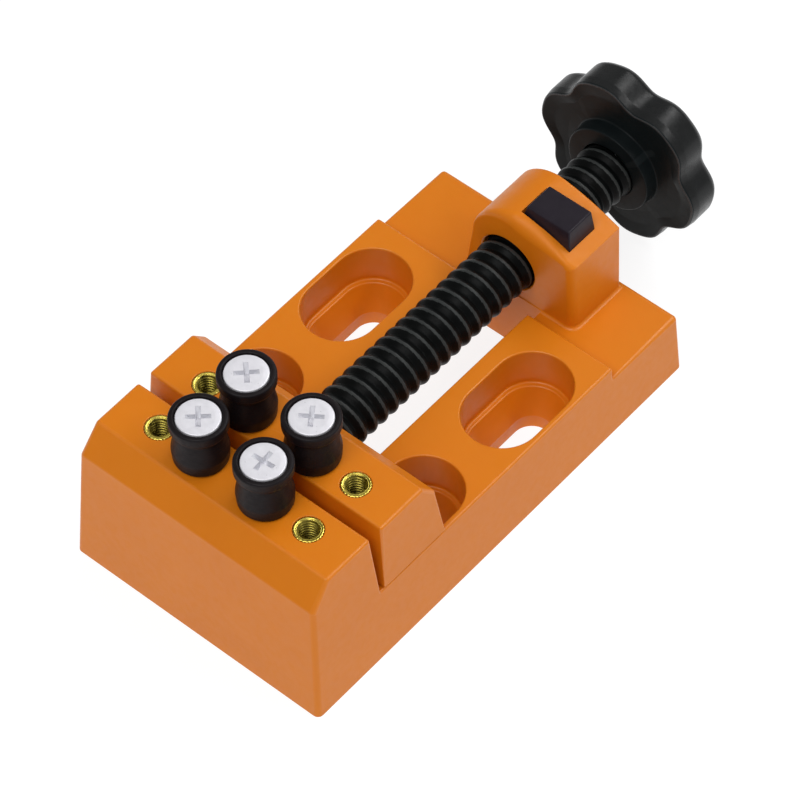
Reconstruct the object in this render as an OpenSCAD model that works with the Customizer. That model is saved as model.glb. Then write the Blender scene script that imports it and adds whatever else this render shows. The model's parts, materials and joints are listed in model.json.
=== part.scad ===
// Screw-driven holder for watch movements: a moulded base with a fixed jaw, a sliding jaw moved by
// a lead screw, a quick-release half nut, and rubber-sleeved pegs that grip the work.
// X runs across the width, Y along the lead screw towards the knob, Z up from the bench.
// Inside the modules Y is measured from the front edge of the base; from_front() shifts it.

/* [Base] */
// Width of the base at the bench
base_w = 58; // [54:0.5:62]
// Length of the base at the bench
base_l = 103; // [102:0.5:108]
// Height of the rails that the sliding jaw rides on
rail_top = 17.5; // [16.5:0.25:18]
// Height of the block behind the rails
rear_top = 14.5; // [13:0.5:16]
// Distance from the front edge to the step behind the rails
rear_step_y = 83.2; // [82:0.2:84]
// Sideways lean of the moulded walls for each millimetre of height
draft = 0.06; // [0:0.01:0.08]
// Half of the gap between the rails
rail_gap = 8.05; // [7.8:0.05:8.4]

/* [Mounting slots] */
// Distance of each slot's centre line from the middle
slot_x = 19.15; // [18.8:0.05:19.5]
// Centre of the front pair of slots
slot_front_y = 36; // [35:0.5:37]
// Centre of the rear pair of slots
slot_rear_y = 66.7; // [65:0.1:68]
// Distance between the two round ends' centres of a slot
slot_run = 8.7; // [6:0.1:10]
// Radius of the bolt slot
slot_r = 4; // [3:0.1:4.2]
// Radius of the counterbore at the rail's top
slot_top_r = 7.55; // [7:0.05:7.7]
// Height of the ledge inside the counterbore
slot_ledge_z = 9; // [7:0.5:11]

/* [Jaws] */
// Height of both jaws
jaw_top = 33.5; // [32.5:0.5:35]
// Front edge of the fixed jaw's top face
fixed_front = 6.2; // [5:0.1:7]
// Rear edge of the fixed jaw's top face
fixed_rear = 17.25; // [17:0.05:17.4]
// Height at which the fixed jaw's front slope starts
slope_z = 28; // [26:0.5:30]
// Front edge of the sliding jaw's top face
slider_front = 20.2; // [20:0.05:20.4]
// Rear edge of the sliding jaw's top face
slider_rear = 31.4; // [31:0.1:32]
// Rear face of the sliding jaw where it meets the rails
slider_foot = 36; // [35.5:0.1:36.2]

/* [Pegs and inserts] */
// Row of insert centres in the fixed jaw, from the front edge
fixed_row = 12.25; // [11.5:0.05:12.5]
// Row of insert centres in the sliding jaw, from the front edge
slider_row = 24.8; // [24.6:0.05:25]
// Distance of the inner inserts from the middle
inner_x = 7.5; // [7.4:0.1:8]
// Distance of the outer inserts from the middle
outer_x = 17.3; // [17:0.1:18]
// Outer diameter of a brass insert
insert_d = 5.7; // [5.5:0.1:6]
// Length of a brass insert
insert_h = 9; // [7:0.5:9.5]
// Height of a rubber sleeve
sleeve_h = 11.3; // [10.5:0.1:12]
// Widest diameter of a rubber sleeve
sleeve_d = 10.8; // [10:0.1:11]
// Diameter of a peg screw's head
head_d = 8.2; // [7.8:0.1:8.4]

/* [Lead screw] */
// Height of the screw's axis
screw_z = 22.3; // [22:0.1:22.6]
// Diameter over the thread's crests
thread_d = 11.7; // [11.5:0.1:11.8]
// Depth of the thread
thread_depth = 1.1; // [0.9:0.1:1.2]
// Advance in one turn
thread_pitch = 2.9; // [2.8:0.1:3]
// Where the crest on the +X side stands, from the front edge
thread_phase = 2.7; // [0:0.1:2.9]

/* [Nut post] */
// Front face of the post
post_front = 87.2; // [87:0.1:87.5]
// Rear face of the post
post_rear = 101; // [100.5:0.1:101.5]
// Right side of the post
post_right = 14.95; // [14.8:0.05:15.2]
// Height of the post at its crown
post_top = 35.2; // [34.8:0.1:35.5]
// Height of the post at its right side
post_low = 31; // [30.8:0.1:31.5]
// Radius of the post's rounded left shoulder
shoulder_r = 10.05; // [9.8:0.05:10.4]
// How far the release button goes down
press = 1.2; // [1:0.1:1.2]

/* [Knob] */
// Mean radius of the lobed rim
knob_r = 17.9; // [16:0.1:19]
// Number of lobes
lobes = 6; // [5:1:8]
// How far the rim swings in and out
lobe_swing = 1.2; // [0.6:0.1:1.6]
// Front face of the rim, from the front edge of the base
knob_front = 118.9; // [118.5:0.1:120]
// Thickness of the rim
knob_t = 7.4; // [6.5:0.1:8]
// Angle of the first lobe
lobe_angle = 49; // [0:1:60]

/* [Hidden] */
knob_rear = knob_front + knob_t;
hub_front = knob_front - 2.7;
hub_r = 9.5;
front_y = -knob_rear / 2;
cut = 1;
round_fn = 48;
small_fn = 24;

// fits
fit_loose = 0.15;
fit_run = 0.10;
fit_press = 0.02;

// the sliding jaw's tongue, its keeper and the channel under the rails
tongue_x = rail_gap - fit_loose;
tongue_front = 20.5;
tongue_rear = 35.2;
channel_x = 13.4;
channel_top = 5.2;
keeper_top = channel_top - fit_loose;
keeper_t = 2.4;
keeper_x = 12.9;
gap_front = 19.2;
gap_rear = 87;
keeper_screw_x = 5.2;
keeper_screw_y = 23.6;

// the lead screw's plain end, held in the sliding jaw
collar_front = 28.35;
collar_rear = 30.3;
collar_r = 4.6;
neck_r = 3.05;
thread_start = 33.2;
thread_end = hub_front + 0.3;
thread_mid = (thread_d - thread_depth) / 2;
thread_cols = 20;
thread_rows = 6;
bore_r = thread_d / 2 + 0.25;
stub_r = 4.2;
stub_end = knob_front + 4.5;
knob_screw_r = 1.25;
knob_screw_start = 114;

// the post's outline: its crown, its leaning walls and the long arc down to its right side
crown_x = 1.45;
wall_top_z = post_top - shoulder_r;
wall_lean = 2.6;
right_lean = 0.86;
fall_r = 43.4;
fall_chord = [post_right - crown_x + 0.85, post_low - post_top];
fall_centre = [(crown_x - 0.85 + post_right) / 2, (post_top + post_low) / 2]
    + sqrt(fall_r ^ 2 - (norm(fall_chord) / 2) ^ 2)
    * [fall_chord.y, -fall_chord.x] / norm(fall_chord);

// the half nut
nut_front = 89.8;
nut_rear = 97;
nut_left = -6.8;
nut_right = 12.4;
nut_foot = 8.2;
nut_foot_top = screw_z - thread_d / 2 - 0.55;
nut_limb = 6.5;
tooth_x = 4.2;
tooth_top = 17.9;
tooth_gap = 0.25;
button_left = 1;
button_right = 12.2;
button_under = 29.6;
button_top = 36.4;
button_lean = 3.2;
nut_roof = button_under + fit_loose;

// the cover under the half nut and its spring
cover_low = 0.5;
cover_top = 2.3;
cover_left = -14.2;
cover_right = 18.2;
cover_front = 88.6;
cover_rear = 99.4;
cover_screws = [-11.3, 15.3];
cover_y = (cover_front + cover_rear) / 2;
spring_x = 2.8;
spring_r = 2.2;
spring_wire = 0.3;
spring_turns = 5;

// pegs
peg_bore_r = 1.65;
peg_shank_r = 1.6;
peg_body_r = 1.95;
sleeve_bore_r = 2.1;
head_h = 2.5;
sleeve_low = jaw_top + fit_press;
head_top = sleeve_low + sleeve_h - 0.05;

module from_front() {
    translate([0, front_y, 0])
        children();
}

// a round bar or hole along Y, from y0 to y1, on the axis x, z
module along_y(x, z, y0, y1, r, fn = round_fn) {
    translate([x, y0, z])
        rotate([-90, 0, 0])
            cylinder(r = r, h = y1 - y0, $fn = fn);
}

// a box between two corners
module block(low, high) {
    translate(low)
        cube(high - low);
}

// the cross-section that both jaws and the rails share, leaning in at both sides
module leaning_section(y0, y1) {
    high = 45;
    translate([0, y1, 0])
        rotate([90, 0, 0])
            linear_extrude(y1 - y0)
                polygon([
                    [-base_w / 2, 0], [base_w / 2, 0],
                    [base_w / 2 - draft * high, high], [-base_w / 2 + draft * high, high]
                ]);
}

// a side outline in Y and Z, as wide as the base
module side_plate(outline) {
    translate([-base_w / 2 - cut, 0, 0])
        rotate([90, 0, 90])
            linear_extrude(base_w + 2 * cut)
                polygon(outline);
}

// a tapering slot with round ends: radius r0 at z0 and r1 at z1
module slot_stage(z0, z1, r0, r1) {
    for (end = [-1, 1])
        translate([0, end * slot_run / 2, z0])
            cylinder(r1 = r0, r2 = r1, h = z1 - z0, $fn = round_fn);
    translate([0, slot_run / 2, 0])
        rotate([90, 0, 0])
            linear_extrude(slot_run)
                polygon([[-r0, z0], [r0, z0], [r1, z1], [-r1, z1]]);
}

module mounting_slot() {
    straight = 3;
    slot_stage(-cut, straight, slot_r, slot_r);
    slot_stage(straight, slot_ledge_z, slot_r, 6.3);
    slot_stage(slot_ledge_z, rail_top + cut, slot_top_r - 0.25, slot_top_r);
}

module mounting_slots() {
    for (side = [-1, 1], y = [slot_front_y, slot_rear_y])
        translate([side * slot_x, y, 0])
            mounting_slot();
}

module insert_holes(row) {
    for (x = [-outer_x, -inner_x, inner_x, outer_x])
        translate([x, row, jaw_top - insert_h - 0.5])
            cylinder(d = insert_d + 2 * fit_press, h = insert_h + 0.5 + cut, $fn = round_fn);
}

// hollows moulded into the underside so that no wall is thick
module base_pockets() {
    cells = 6;
    rib = 1.8;
    reach = 25.2;
    cell = (2 * reach + rib) / cells;
    for (i = [0:cells - 1])
        block([-reach + i * cell, 3.6, -cut], [-reach + (i + 1) * cell - rib, 15.6, 20]);
    for (x = [-25.8, -18.6])
        block([x, 85.6, -cut], [x + 5.2, 99.6, rear_top - 2.8]);
    block([20.2, 85.6, -cut], [25.8, 99.6, rear_top - 2.8]);
}

// the space that the half nut slides in, open to the bench under its cover
module nut_cavity() {
    y0 = nut_front - fit_loose;
    y1 = nut_rear + fit_loose;
    block([nut_left - fit_loose, y0, -cut], [nut_right + fit_loose, y1, nut_foot_top + fit_loose]);
    block([-tooth_x - fit_loose, y0, nut_foot], [tooth_x + fit_loose, y1, tooth_top + fit_loose]);
    block([5, y0, nut_foot], [nut_right + fit_loose, y1, nut_roof]);
    block([button_left - fit_loose, y0, button_under - press - 0.2],
          [button_right + fit_loose, y1, post_top + cut]);
    block([cover_left - fit_loose, cover_front - fit_loose, -cut],
          [cover_right + fit_loose, cover_rear + fit_loose, cover_top]);
    for (x = cover_screws)
        translate([x, cover_y, 0])
            cylinder(r = 0.9 + fit_press, h = 9, $fn = small_fn);
}

module post_outline() {
    foot = rear_top / 2;
    intersection() {
        union() {
            translate([crown_x, wall_top_z])
                circle(r = shoulder_r, $fn = round_fn);
            polygon([
                [crown_x - shoulder_r - wall_lean, foot], [post_right + right_lean, foot],
                [post_right, post_low], [post_right, post_top + cut], [crown_x, post_top + cut],
                [crown_x, wall_top_z],
                [crown_x - shoulder_r, wall_top_z]
            ]);
        }
        translate(fall_centre)
            circle(r = fall_r, $fn = 4 * round_fn);
        translate([-base_w / 2, foot])
            square([base_w / 2 + post_right + right_lean, post_top]);
    }
}

module nut_post() {
    translate([0, post_rear, 0])
        rotate([90, 0, 0])
            linear_extrude(post_rear - post_front)
                post_outline();
}

module base_body() {
    fixed_foot = fixed_rear + draft * 1.4 * (jaw_top - rail_top);
    from_front()
        color([0.88, 0.51, 0.15])
            difference() {
                union() {
                    intersection() {
                        leaning_section(-cut, base_l + cut);
                        side_plate([
                            [0, 0], [base_l, 0], [base_l - draft * rear_top, rear_top],
                            [rear_step_y, rear_top], [rear_step_y, rail_top],
                            [fixed_foot, rail_top], [fixed_rear, jaw_top],
                            [fixed_front, jaw_top], [draft * slope_z, slope_z]
                        ]);
                    }
                    nut_post();
                }
                block([-rail_gap, gap_front, -cut], [rail_gap, gap_rear, rail_top + cut]);
                block([-channel_x, gap_front, -cut], [channel_x, gap_rear, channel_top]);
                mounting_slots();
                insert_holes(fixed_row);
                base_pockets();
                nut_cavity();
                along_y(0, screw_z, post_front - cut, post_rear + cut, bore_r);
            }
}

module moving_jaw() {
    z0 = rail_top + 0.1;
    from_front()
        color([0.88, 0.50, 0.16])
            difference() {
                union() {
                    intersection() {
                        leaning_section(0, base_l);
                        side_plate([
                            [slider_front - 0.55, z0], [slider_foot, z0],
                            [slider_foot - 1.5, jaw_top - 3.5], [slider_rear, jaw_top],
                            [slider_front, jaw_top]
                        ]);
                    }
                    block([-tongue_x, tongue_front, keeper_top], [tongue_x, tongue_rear, z0 + 1]);
                }
                insert_holes(slider_row);
                // seats for the lead screw's collar and neck, open at the bottom for assembly
                screw_seat(collar_front - 0.15, collar_rear + 0.1, collar_r + fit_loose);
                screw_seat(collar_rear, thread_start, neck_r + fit_run);
                along_y(0, screw_z, thread_start - 0.1, slider_foot + cut, bore_r);
                for (side = [-1, 1]) {
                    mirror([side < 0 ? 1 : 0, 0, 0])
                        block([10, 28.4, z0 - cut], [25.4, 33, jaw_top - 4.5]);
                    translate([side * keeper_screw_x, keeper_screw_y, keeper_top - cut])
                        cylinder(r = 1 + fit_press, h = 9, $fn = small_fn);
                }
            }
}

module screw_seat(y0, y1, r) {
    along_y(0, screw_z, y0, y1, r);
    block([-r, y0, keeper_top - cut], [r, y1, screw_z]);
}

// a countersunk screw that points up, its head's flat at z = 0
module flat_screw(head_r, head_t, shank_r, length) {
    difference() {
        rotate_extrude($fn = small_fn)
            polygon([
                [0, 0], [head_r, 0], [shank_r, head_t], [shank_r, length - shank_r], [0, length]
            ]);
        for (turn = [0, 90])
            rotate([0, 0, turn])
                translate([-0.9 * shank_r, -0.22, -cut])
                    cube([1.8 * shank_r, 0.44, cut + 0.5 * head_t]);
    }
}

// the matching hole through a plate of thickness t
module flat_screw_hole(head_r, head_t, shank_r, t) {
    translate([0, 0, -cut])
        cylinder(r = shank_r + 0.05, h = t + 2 * cut, $fn = small_fn);
    cylinder(r1 = head_r + 0.05, r2 = shank_r + 0.05, h = head_t, $fn = small_fn);
    translate([0, 0, -cut])
        cylinder(r = head_r + 0.05, h = cut + 0.001, $fn = small_fn);
}

module jaw_keeper() {
    from_front()
        color([0.13, 0.13, 0.14])
            difference() {
                block([-keeper_x, tongue_front + 0.2, keeper_top - keeper_t],
                      [keeper_x, tongue_rear - 0.2, keeper_top]);
                for (side = [-1, 1])
                    translate([side * keeper_screw_x, keeper_screw_y, keeper_top - keeper_t])
                        flat_screw_hole(2, 1.1, 1, keeper_t);
            }
}

module keeper_screws() {
    from_front()
        color([0.62, 0.62, 0.64])
            for (side = [-1, 1])
                translate([side * keeper_screw_x, keeper_screw_y, keeper_top - keeper_t])
                    flat_screw(2, 1.1, 1, 9);
}

// a saddle pushed up under the lead screw's neck, held in by the keeper
module screw_retainer() {
    from_front()
        color([0.13, 0.13, 0.14])
            difference() {
                block([-neck_r, collar_rear + 0.25, keeper_top + 0.03],
                      [neck_r, thread_start - 0.3, screw_z - neck_r + 1.2]);
                along_y(0, screw_z, collar_rear, thread_start, neck_r + fit_run);
            }
}

function thread_radius(y, angle, grow) =
    thread_mid + grow + thread_depth / 2
    * cos(360 * (y - thread_phase) / thread_pitch + angle);

// the thread's surface from y0 to about y1 as rings of points, a right-hand helix along +Y
module threaded_bar(y0, y1, grow = 0) {
    step = thread_pitch / thread_rows;
    rings = floor((y1 - y0) / step);
    cols = thread_cols;
    points = [
        for (k = [0:rings], j = [0:cols - 1])
            let (
                y = y0 + (y1 - y0) * k / rings,
                angle = 360 * j / cols,
                r = thread_radius(y, angle, grow)
            )
            [r * cos(angle), y, screw_z + r * sin(angle)]
    ];
    sides = [
        for (k = [0:rings - 1], j = [0:cols - 1])
            let (a = k * cols + j, b = k * cols + (j + 1) % cols)
            each [[a, b, b + cols], [a, b + cols, a + cols]]
    ];
    polyhedron(
        points = points,
        faces = concat(
            sides,
            [[for (j = [cols - 1:-1:0]) j]],
            [[for (j = [0:cols - 1]) rings * cols + j]]
        ),
        convexity = 10
    );
}

module lead_screw() {
    overlap = 0.6;
    from_front()
        color([0.08, 0.08, 0.09])
            difference() {
                union() {
                    threaded_bar(thread_start, thread_end);
                    along_y(0, screw_z, collar_front, collar_rear, collar_r);
                    along_y(0, screw_z, collar_rear, thread_start + overlap, neck_r);
                    along_y(0, screw_z, thread_end - overlap, stub_end, stub_r, 6);
                }
                along_y(0, screw_z, knob_screw_start - 0.5, stub_end + cut,
                        knob_screw_r + fit_press, small_fn);
            }
}

function knob_radius(angle, inset) =
    knob_r - inset + lobe_swing * cos(lobes * (angle - lobe_angle))
    - 0.3 * cos(2 * lobes * (angle - lobe_angle));

module lobed_disc(y0, y1, inset) {
    steps = 12 * lobes;
    translate([0, y1, screw_z])
        rotate([90, 0, 0])
            linear_extrude(y1 - y0)
                polygon([
                    for (i = [0:steps - 1])
                        let (angle = 360 * i / steps)
                        knob_radius(angle, inset) * [cos(angle), sin(angle)]
                ]);
}

module knob() {
    rim_step = 0.8;
    screw_seat_y = stub_end + 1.1;
    from_front()
        color([0.09, 0.09, 0.10])
            difference() {
                union() {
                    lobed_disc(knob_front, knob_front + rim_step, rim_step);
                    lobed_disc(knob_front + rim_step, knob_rear - 2 * rim_step, 0);
                    lobed_disc(knob_rear - 2 * rim_step, knob_rear, 1.5 * rim_step);
                    along_y(0, screw_z, hub_front, knob_front + cut, hub_r);
                }
                along_y(0, screw_z, hub_front - cut, thread_end + 0.3, 6.3);
                along_y(0, screw_z, thread_end, stub_end + 0.1, stub_r + 0.04, 6);
                along_y(0, screw_z, stub_end, knob_rear, 1.6, small_fn);
                along_y(0, screw_z, screw_seat_y, knob_rear + cut, 3.4);
            }
}

module knob_screw() {
    seat = stub_end + 1.1 + 0.02;
    head_r = 2.9;
    from_front()
        color([0.62, 0.62, 0.64])
            difference() {
                union() {
                    along_y(0, screw_z, knob_screw_start, seat + 0.2, knob_screw_r, small_fn);
                    along_y(0, screw_z, seat, seat + 1.6, head_r);
                }
                for (turn = [0, 90])
                    translate([0, seat + 0.7, screw_z])
                        rotate([0, turn, 0])
                            block([-1.7, 0, -0.35], [1.7, cut + 0.9, 0.35]);
            }
}

module release_nut() {
    chamfer = 0.7;
    lean_to = 0.5;
    from_front()
        color([0.15, 0.13, 0.17])
            union() {
                block([nut_left, nut_front, nut_foot], [nut_right, nut_rear, nut_foot_top]);
                block([nut_limb, nut_front, nut_foot], [nut_right, nut_rear, button_under]);
                difference() {
                    block([-tooth_x, nut_front, nut_foot_top - cut], [tooth_x, nut_rear, tooth_top]);
                    threaded_bar(nut_front - thread_pitch / 2, nut_rear + thread_pitch / 2, tooth_gap);
                }
                // the button, whose walls lean in towards its top
                intersection() {
                    translate([0, nut_rear, 0])
                        rotate([90, 0, 0])
                            linear_extrude(nut_rear - nut_front)
                                polygon([
                                    [button_left, button_under], [nut_limb, button_under],
                                    [nut_limb, button_under - lean_to],
                                    [button_right, button_under - lean_to],
                                    [button_right, button_top - button_lean],
                                    [button_right - chamfer, button_top],
                                    [button_left + chamfer, button_top],
                                    [button_left, button_top - button_lean]
                                ]);
                    translate([button_left, 0, 0])
                        rotate([90, 0, 90])
                            linear_extrude(button_right - button_left)
                                polygon([
                                    [nut_front, button_under - lean_to],
                                    [nut_rear, button_under - lean_to],
                                    [nut_rear, button_top],
                                    [nut_front + chamfer, button_top],
                                    [nut_front, button_top - button_lean]
                                ]);
                }
            }
}

// a round wire wound up from z0 to z1
module release_spring() {
    z0 = cover_top + spring_wire + 0.05;
    z1 = nut_foot - spring_wire - 0.05;
    per_turn = 12;
    sides = 8;
    rings = per_turn * spring_turns;
    points = [
        for (k = [0:rings], j = [0:sides - 1])
            let (
                turn = 360 * k / per_turn,
                around = 360 * j / sides,
                r = spring_r + spring_wire * cos(around)
            )
            [r * cos(turn), r * sin(turn), z0 + (z1 - z0) * k / rings + spring_wire * sin(around)]
    ];
    skin = [
        for (k = [0:rings - 1], j = [0:sides - 1])
            let (a = k * sides + j, b = k * sides + (j + 1) % sides)
            each [[a, a + sides, b + sides], [a, b + sides, b]]
    ];
    from_front()
        color([0.75, 0.75, 0.77])
            translate([spring_x, (nut_front + nut_rear) / 2, 0])
                polyhedron(
                    points = points,
                    faces = concat(
                        skin,
                        [[for (j = [0:sides - 1]) j]],
                        [[for (j = [sides - 1:-1:0]) rings * sides + j]]
                    ),
                    convexity = 10
                );
}

module nut_cover() {
    from_front()
        color([0.13, 0.13, 0.14])
            difference() {
                union() {
                    block([cover_left, cover_front, cover_low], [cover_right, cover_rear, cover_top - 0.02]);
                    translate([spring_x, (nut_front + nut_rear) / 2, cover_low])
                        cylinder(r = 1.6, h = cover_top - cover_low + 1.6, $fn = small_fn);
                }
                for (x = cover_screws)
                    translate([x, cover_y, cover_low])
                        flat_screw_hole(1.8, 1, 0.9, cover_top - cover_low);
            }
}

module nut_cover_screws() {
    from_front()
        color([0.62, 0.62, 0.64])
            for (x = cover_screws)
                translate([x, cover_y, cover_low])
                    flat_screw(1.8, 1, 0.9, 7.5);
}

// a threaded brass bush, flush with the jaw's top
module brass_insert(x, row) {
    mouth = 0.45;
    from_front()
        color([0.80, 0.68, 0.20])
            translate([x, row, jaw_top - insert_h])
                rotate_extrude($fn = round_fn)
                    polygon([
                        [peg_bore_r, 0], [insert_d / 2 - 0.3, 0], [insert_d / 2, 0.4],
                        [insert_d / 2, insert_h], [peg_bore_r + mouth, insert_h],
                        [peg_bore_r, insert_h - mouth]
                    ]);
}

// a rubber spool with a waist under its top flange, bored for the screw
module rubber_sleeve(x, row) {
    body_r = sleeve_d / 2;
    waist_r = body_r - 0.7;
    edge = 0.7;
    body_h = 6.4;
    flange_h = 2.1;
    from_front()
        color([0.10, 0.09, 0.11])
            translate([x, row, sleeve_low])
                rotate_extrude($fn = round_fn)
                    difference() {
                        union() {
                            square([waist_r, sleeve_h]);
                            square([body_r - edge, body_h]);
                            translate([0, edge])
                                square([body_r, body_h - 2 * edge]);
                            for (z = [edge, body_h - edge])
                                translate([body_r - edge, z])
                                    circle(r = edge, $fn = small_fn);
                            translate([0, sleeve_h - flange_h])
                                square([body_r - edge, flange_h]);
                            translate([0, sleeve_h - flange_h + edge])
                                square([body_r, flange_h - 2 * edge]);
                            for (z = [flange_h - edge, edge])
                                translate([body_r - edge, sleeve_h - z])
                                    circle(r = edge, $fn = small_fn);
                        }
                        translate([-cut, -cut])
                            square([sleeve_bore_r + cut, sleeve_h + 2 * cut]);
                        translate([0, sleeve_h - head_h - 0.1])
                            square([head_d / 2 + fit_loose, head_h + cut]);
                    }
}

// a peg's screw: flat round head with a cross recess, plain where it passes the sleeve
module peg_screw(x, row, turn) {
    head_low = head_top - head_h;
    recess = 1.3;
    arm = 0.5;
    from_front()
        color([0.86, 0.86, 0.88])
            translate([x, row, 0])
                difference() {
                    rotate_extrude($fn = round_fn)
                        polygon([
                            [0, jaw_top - insert_h + 0.6], [peg_shank_r, jaw_top - insert_h + 1.4],
                            [peg_shank_r, jaw_top + 0.3], [peg_body_r, jaw_top + 0.6],
                            [peg_body_r, head_low], [head_d / 2, head_low],
                            [head_d / 2, head_top - 0.35], [head_d / 2 - 0.35, head_top],
                            [0, head_top]
                        ]);
                    for (part = [0, 90])
                        rotate([0, 0, turn + part])
                            block([-2.1, -arm, head_top - recess], [2.1, arm, head_top + cut]);
                }
}

base_body();
moving_jaw();
jaw_keeper();
keeper_screws();
screw_retainer();
lead_screw();
knob();
knob_screw();
release_nut();
release_spring();
nut_cover();
nut_cover_screws();
brass_insert(-outer_x, fixed_row);  // fixed_insert_1
brass_insert(-inner_x, fixed_row);  // fixed_insert_2
brass_insert(inner_x, fixed_row);  // fixed_insert_3
brass_insert(outer_x, fixed_row);  // fixed_insert_4
brass_insert(-outer_x, slider_row);  // jaw_insert_1
brass_insert(-inner_x, slider_row);  // jaw_insert_2
brass_insert(inner_x, slider_row);  // jaw_insert_3
brass_insert(outer_x, slider_row);  // jaw_insert_4
rubber_sleeve(-inner_x, fixed_row);  // fixed_left_sleeve
rubber_sleeve(inner_x, fixed_row);  // fixed_right_sleeve
rubber_sleeve(-inner_x, slider_row);  // jaw_left_sleeve
rubber_sleeve(inner_x, slider_row);  // jaw_right_sleeve
peg_screw(-inner_x, fixed_row, 42);  // fixed_left_screw
peg_screw(inner_x, fixed_row, 5);  // fixed_right_screw
peg_screw(-inner_x, slider_row, 45);  // jaw_left_screw
peg_screw(inner_x, slider_row, 35);  // jaw_right_screw
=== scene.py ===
"""The looks of a screw-driven watch movement holder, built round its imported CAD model.

Lengths are in metres. X is across the width, Y along the lead screw towards the knob, Z up from the bench.
"""

import json
import math

import bmesh
import bpy
import numpy as np
from mathutils import Matrix, Vector


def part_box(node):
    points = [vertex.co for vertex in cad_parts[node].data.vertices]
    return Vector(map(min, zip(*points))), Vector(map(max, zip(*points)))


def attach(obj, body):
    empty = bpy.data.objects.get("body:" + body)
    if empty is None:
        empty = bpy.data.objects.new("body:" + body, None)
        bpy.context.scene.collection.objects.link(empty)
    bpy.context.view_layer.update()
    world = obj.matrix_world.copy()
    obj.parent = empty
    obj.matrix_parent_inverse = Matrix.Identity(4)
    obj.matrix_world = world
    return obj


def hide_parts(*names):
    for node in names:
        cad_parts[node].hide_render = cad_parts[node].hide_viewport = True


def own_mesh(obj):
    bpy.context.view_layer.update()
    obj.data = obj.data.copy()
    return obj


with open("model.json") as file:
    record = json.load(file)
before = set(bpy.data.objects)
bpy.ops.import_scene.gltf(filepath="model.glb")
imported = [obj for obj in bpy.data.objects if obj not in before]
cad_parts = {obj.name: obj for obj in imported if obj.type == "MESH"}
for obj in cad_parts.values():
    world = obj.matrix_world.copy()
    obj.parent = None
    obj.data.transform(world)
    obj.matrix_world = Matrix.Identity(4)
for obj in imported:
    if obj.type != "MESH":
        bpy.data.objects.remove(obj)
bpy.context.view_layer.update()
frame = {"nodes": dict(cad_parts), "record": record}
MM = 0.001
RECORD = frame["record"]
FLAT_POINTINESS, EDGE_POINTINESS = 0.505, 0.56


# ---------------------------------------------------------------- materials

class Material:
    """A Principled material and the few node chains that the finishes below share."""

    def __init__(self, name, **inputs):
        self.material = bpy.data.materials.new(name)
        self.material.use_nodes = True
        self.tree = self.material.node_tree
        self.shader = self.tree.nodes["Principled BSDF"]
        for socket, value in inputs.items():
            self.shader.inputs[socket.replace("_", " ")].default_value = value
        self.place = self.tree.nodes.new("ShaderNodeTexCoord").outputs["Object"]

    def node(self, kind, **settings):
        made = self.tree.nodes.new(kind)
        for key, value in settings.items():
            setattr(made, key, value)
        return made

    def link(self, output, target):
        self.tree.links.new(output, target)

    def stretched(self, stretch):
        """Object coordinates multiplied along each axis."""
        mapping = self.node("ShaderNodeMapping")
        mapping.inputs["Scale"].default_value = stretch
        self.link(self.place, mapping.inputs["Vector"])
        return mapping.outputs["Vector"]

    def noise(self, size, detail=2.0, stretch=None, distortion=0.0):
        """Noise whose blobs are about size metres across."""
        made = self.node("ShaderNodeTexNoise")
        made.inputs["Scale"].default_value = 1 / size
        made.inputs["Detail"].default_value = detail
        made.inputs["Distortion"].default_value = distortion
        self.link(self.stretched(stretch) if stretch else self.place, made.inputs["Vector"])
        return made.outputs["Fac"]

    def levels(self, value, low, high, to_low=0.0, to_high=1.0):
        """The value carried from the span low..high to the span to_low..to_high."""
        made = self.node("ShaderNodeMapRange")
        ends = {"From Min": low, "From Max": high, "To Min": to_low, "To Max": to_high}
        for socket, number in ends.items():
            made.inputs[socket].default_value = number
        self.link(value, made.inputs["Value"])
        return made.outputs["Result"]

    def blend(self, factor, first, second):
        """Colour that goes from first to second; each is a colour or a socket."""
        made = self.node("ShaderNodeMix", data_type="RGBA")
        self.link(factor, made.inputs["Factor"])
        for socket, value in ((made.inputs[6], first), (made.inputs[7], second)):
            if isinstance(value, tuple):
                socket.default_value = (*value, 1.0)
            else:
                self.link(value, socket)
        return made.outputs[2]

    def edges(self):
        """1 on outer edges and 0 on flats."""
        pointiness = self.node("ShaderNodeNewGeometry").outputs["Pointiness"]
        return self.levels(pointiness, FLAT_POINTINESS, EDGE_POINTINESS)

    def colour(self, socket):
        self.link(socket, self.shader.inputs["Base Color"])

    def roughness(self, socket):
        self.link(socket, self.shader.inputs["Roughness"])

    def bumps(self, *layers):
        """Bump layers: (height socket, height in metres)."""
        normal = None
        for height, size in layers:
            made = self.node("ShaderNodeBump")
            made.inputs["Strength"].default_value = 1.0
            made.inputs["Distance"].default_value = size
            self.link(height, made.inputs["Height"])
            if normal:
                self.link(normal, made.inputs["Normal"])
            normal = made.outputs["Normal"]
        self.link(normal, self.shader.inputs["Normal"])


def orange_plastic(name, shine, rough):
    """Moulded plastic with flow marks, a fine grain and warm highlights."""
    m = Material(name, IOR=1.5, Specular_IOR_Level=shine, Specular_Tint=(1.0, 0.88, 0.68, 1.0),
                 Subsurface_Weight=0.06, Subsurface_Scale=0.0015, Subsurface_Radius=(1.0, 0.35, 0.1))
    flow = m.noise(30 * MM, 3, stretch=(1.0, 0.45, 1.0), distortion=0.6)
    mottle = m.noise(5 * MM, 4)
    body = m.blend(m.levels(flow, 0.3, 0.7), (0.675, 0.187, 0.005), (0.645, 0.174, 0.004))
    body = m.blend(m.levels(mottle, 0.35, 0.8, 0, 0.35), body, (0.70, 0.20, 0.006))
    m.colour(body)
    m.roughness(m.levels(m.noise(1.5 * MM, 3), 0.3, 0.7, rough, rough + 0.12))
    m.bumps((m.noise(0.35 * MM, 2), 0.004 * MM), (m.noise(6 * MM, 2), 0.03 * MM))
    return m.material


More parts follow.
